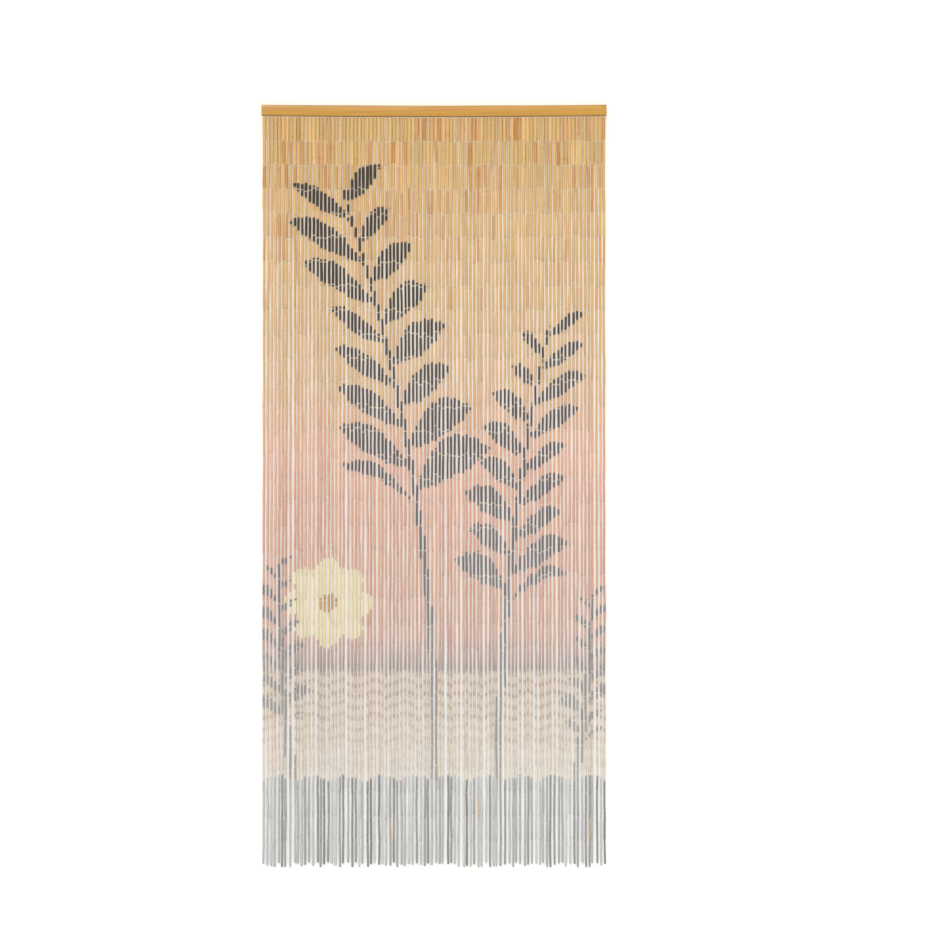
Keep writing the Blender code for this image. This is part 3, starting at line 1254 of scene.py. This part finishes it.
# %% Floor and wall
FLOOR_GAP = 0.12
STUDIO_SIZE = 40
WALL_Y = 0.004
STUDIO_ROUGHNESS = 0.9
FLOOR_WHITE = (0.97, 0.97, 0.965, 1.0)
WALL_GREY = (0.5, 0.5, 0.49, 1.0)
# Painted light: the wall's glow by depth, warmest at the top, standing in for bounced light.
WALL_PAINTED_GLOW_BY_DEPTH = (
    (0.0, (0.47, 0.38, 0.29, 1.0)),
    (0.5, (0.43, 0.375, 0.305, 1.0)),
    (1.0, (0.395, 0.34, 0.315, 1.0)),
    (1.4, (0.36, 0.34, 0.325, 1.0)),
    (1.5, (0.34, 0.335, 0.325, 1.0)),
    (1.74, (0.34, 0.34, 0.33, 1.0)),
    (1.8, (0.38, 0.38, 0.375, 1.0)),
)


def studio_plane(name, colour, location, rotation):
    """A large plane in one colour that isn't part of the curtain, and its finish."""
    deselect_all()
    bpy.ops.mesh.primitive_plane_add(size=STUDIO_SIZE, location=location, rotation=rotation)
    plane = bpy.context.object
    plane.name = name
    finish = Finish(name, {"Base Color": colour, "Roughness": STUDIO_ROUGHNESS})
    plane.data.materials.append(finish.material)
    return finish


studio_plane("studio_floor", FLOOR_WHITE, (0, 0, LOWEST_Z - FLOOR_GAP), (0, 0, 0))
wall_finish = studio_plane("studio_wall", WALL_GREY, (0, WALL_Y, 0), (math.pi / 2, 0, 0))
from_behind = wall_finish.node("ShaderNodeNewGeometry", {}, {}, out=6)
wall_finish.set("Alpha", 1 - from_behind)
wall_place = wall_finish.node("ShaderNodeNewGeometry", {}, {}, out=0)
wall_share = (TOP_Z - wall_finish.split(wall_place)[2]) / PAINT_LENGTH
# Painted light: the wall glows in a colour set by depth.
wall_finish.set("Emission Color", wall_finish.ramp(wall_share, down_stops(WALL_PAINTED_GLOW_BY_DEPTH)))
wall_finish.shader.inputs["Emission Strength"].default_value = 1.0
print("wall:", WALL_Y, "metres behind the rail's back")

# %% [markdown]
# The sky lights the curtain evenly from all round, and a broad sun from the upper front fills
# the gaps between the tubes. Colours are shown as they are, with no film look.

# %% Sky and sun
STUDIO_WHITE = (1.0, 1.0, 1.0, 1.0)
SKY_STRENGTH = 1.0
SUN_STRENGTH = 1.6
SUN_ANGLE = math.radians(20)
SUN_PLACE = (-0.8, -4.0, 2.4)

scene = bpy.context.scene
scene.world = bpy.data.worlds.new("white studio")
scene.world.use_nodes = True
sky = scene.world.node_tree.nodes["Background"]
sky.inputs["Color"].default_value = STUDIO_WHITE
sky.inputs["Strength"].default_value = SKY_STRENGTH
scene.view_settings.view_transform = "Standard"
scene.view_settings.look = "None"


def aim(thing, target):
    """Turns a lamp or camera to look at a point."""
    towards = [b - a for a, b in zip(thing.location, target)]
    flat = math.hypot(towards[0], towards[1])
    tilt = math.pi / 2 + math.atan2(towards[2], flat)
    thing.rotation_euler = (tilt, 0, -math.atan2(towards[0], towards[1]))


bpy.ops.object.light_add(type="SUN", location=SUN_PLACE)
sun = bpy.context.object
sun.data.energy = SUN_STRENGTH
sun.data.angle = SUN_ANGLE
aim(sun, (0, 0, 0))
print("sun: aimed from", SUN_PLACE)

# %% [markdown]
# The camera looks straight at the curtain's middle from far away. A small shift puts the curtain
# left of the picture's middle.

# %% Camera
PICTURE_SIZE = 940
METRES_A_PIXEL = 0.00261
CAMERA_DISTANCE = 7.0
SENSOR = 36.0
OBJECT_PIXEL = (434, 488)

middle_z = (TOP_Z + LOWEST_Z) / 2
camera_place = (0, STRAND_Y - CAMERA_DISTANCE, middle_z)
bpy.ops.object.camera_add(location=camera_place, rotation=(math.pi / 2, 0, 0))
camera = bpy.context.object
camera.data.sensor_width = SENSOR
camera.data.lens = SENSOR * CAMERA_DISTANCE / (PICTURE_SIZE * METRES_A_PIXEL)
camera.data.shift_x = 0.5 - OBJECT_PIXEL[0] / PICTURE_SIZE
camera.data.shift_y = OBJECT_PIXEL[1] / PICTURE_SIZE - 0.5
scene.camera = camera
print("camera: lens", round(camera.data.lens, 1), "mm")
